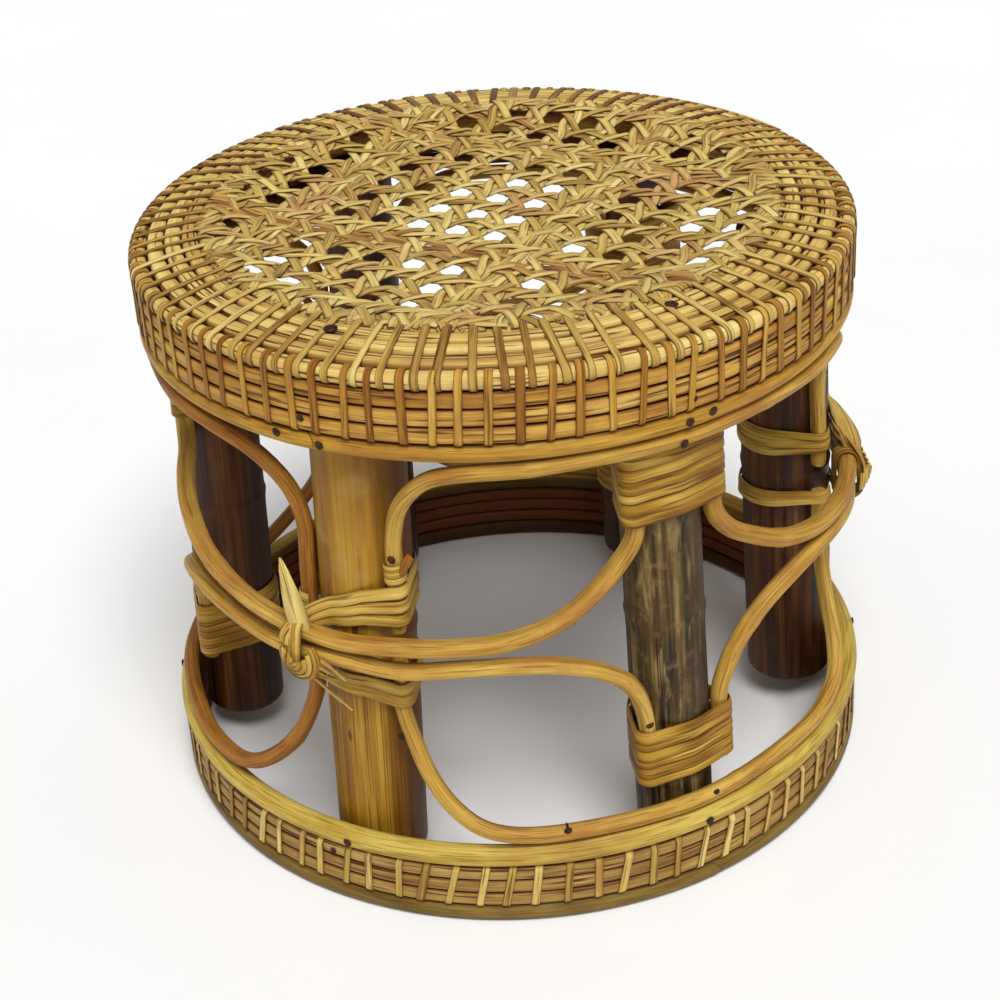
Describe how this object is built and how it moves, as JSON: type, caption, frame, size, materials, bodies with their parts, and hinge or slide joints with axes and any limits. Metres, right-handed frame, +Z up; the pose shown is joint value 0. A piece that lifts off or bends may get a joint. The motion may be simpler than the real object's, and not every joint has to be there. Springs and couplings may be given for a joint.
{
  "type": "rattan mudda stool",
  "caption": "Low round rattan stool: caned seat drum and base ring joined by thick pole legs, with bent canes lashed between them in strip bindings and knots.",
  "frame": {"origin": "on the floor at the middle of the base ring", "axes": "+Z up; -Y is the front, the side with the knot leg on the left; +X to the right"},
  "size_m": [0.3672, 0.3648, 0.2958],
  "materials": {
    "pole_tan": "smooth satin rattan pole",
    "pole_grey": "weathered, mottled rattan pole",
    "pole_brown": "dark skinned rattan pole",
    "cane": "satin bent cane",
    "reed": "pale split reed",
    "strip": "satin peel strip",
    "caning": "woven peel strip",
    "nail": "dark iron"
  },
  "bodies": {
    "root": {"seat_hoop": "cane", "seat_frame_hoop": "cane", "base_top_hoop": "cane", "base_floor_hoop": "cane", "seat_border_coil": "reed", "seat_wall_coil": "reed", "base_coil": "reed", "cane_panel": "caning", "leg_front_left": "pole_tan", "leg_front_right": "pole_grey", "leg_right": "pole_brown", "leg_rear_right": "pole_brown", "leg_rear_left": "pole_brown", "leg_left": "pole_brown", "nail_seat_1": "nail", "nail_seat_2": "nail", "nail_seat_3": "nail", "nail_seat_4": "nail", "nail_seat_5": "nail", "nail_seat_6": "nail", "nail_base_1": "nail", "nail_base_2": "nail", "nail_base_3": "nail", "nail_base_4": "nail", "nail_base_5": "nail", "nail_base_6": "nail", "upper_arch_1": "cane", "upper_arch_2": "cane", "upper_arch_3": "cane", "lower_bow_1": "cane", "lower_bow_2": "cane", "lower_bow_3": "cane", "upper_garland_1": "cane", "upper_garland_2": "cane", "upper_garland_3": "cane", "lower_arch_1": "cane", "lower_arch_2": "cane", "lower_arch_3": "cane", "top_binding_1": "strip", "top_binding_2": "strip", "top_binding_3": "strip", "bottom_binding_1": "strip", "bottom_binding_2": "strip", "bottom_binding_3": "strip", "knot_band_upper_1": "strip", "knot_band_upper_2": "strip", "knot_band_upper_3": "strip", "knot_band_lower_1": "strip", "knot_band_lower_2": "strip", "knot_band_lower_3": "strip", "knot_lashing_1": "strip", "knot_lashing_2": "strip", "knot_lashing_3": "strip", "knot_tip_1": "strip", "knot_tip_2": "strip", "knot_tip_3": "strip"}
  },
  "joints": []
}
